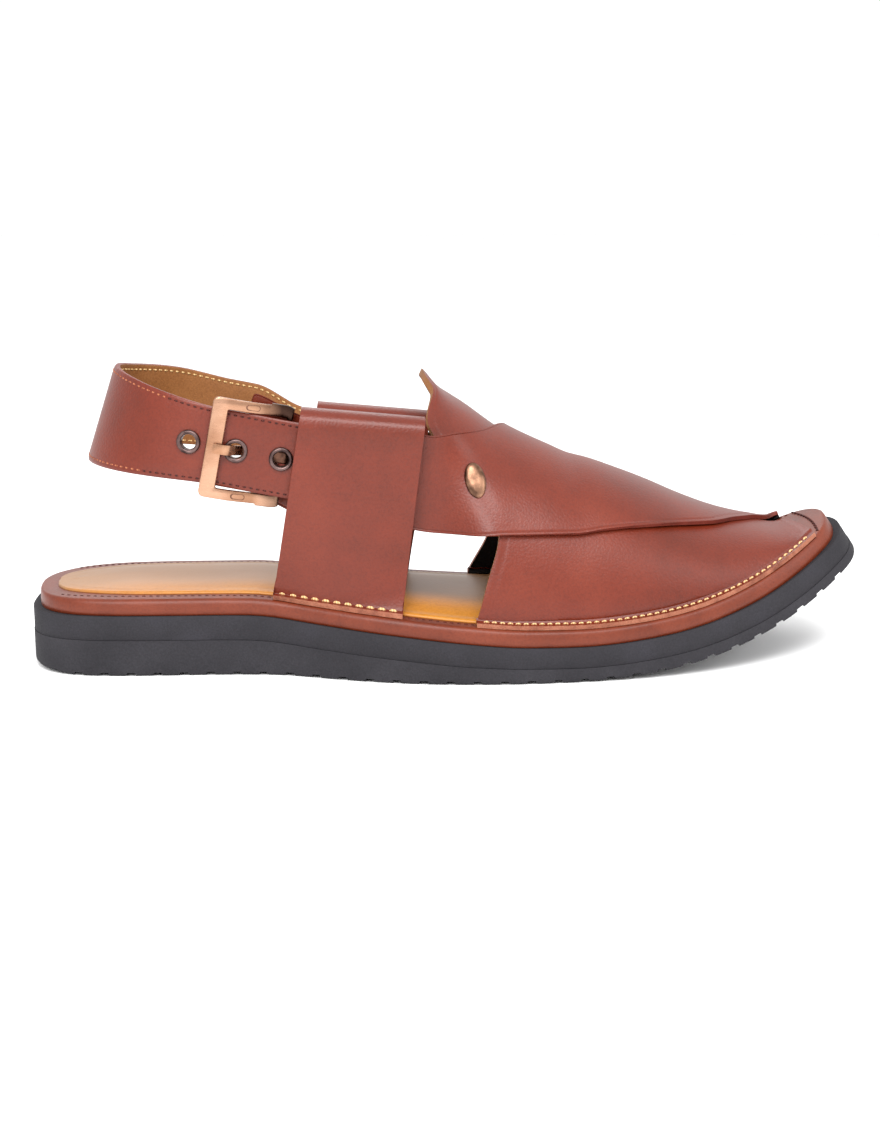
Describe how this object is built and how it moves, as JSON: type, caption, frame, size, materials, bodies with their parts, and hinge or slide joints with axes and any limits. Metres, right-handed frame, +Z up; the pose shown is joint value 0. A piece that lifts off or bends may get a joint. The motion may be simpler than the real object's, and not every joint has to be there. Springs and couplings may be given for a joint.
{
  "type": "peshawari chappal",
  "caption": "Right leather sandal with two wide bands crossed over the instep, folded side loops, a buckled heel strap, a padded insole and a rubber sole with a gentle toe spring.",
  "frame": {"origin": "on the floor under the heel, on the middle line of the shoe, 36 mm forward of the back of the heel", "axes": "+X towards the toe, +Y towards the inner side of the foot, +Z up"},
  "size_m": [0.2994, 0.0964, 0.1052],
  "materials": {
    "outsole_rubber": "matte",
    "midsole_rubber": "matte",
    "upper_leather": "satin",
    "insole_leather": "satin",
    "eyelet_metal": "dark antique",
    "buckle_metal": "brushed copper tone"
  },
  "bodies": {
    "root": {"outsole": "outsole_rubber", "midsole": "midsole_rubber", "footbed": "upper_leather", "insole": "insole_leather", "cross_band_outer": "upper_leather", "cross_band_inner": "upper_leather", "side_loop_lateral": "upper_leather", "side_loop_medial": "upper_leather", "heel_strap": "upper_leather", "eyelet_1": "eyelet_metal", "eyelet_2": "eyelet_metal", "eyelet_3": "eyelet_metal", "buckle_frame": "buckle_metal", "buckle_prong": "buckle_metal", "buckle_chape": "upper_leather", "stud": "buckle_metal"}
  },
  "joints": []
}
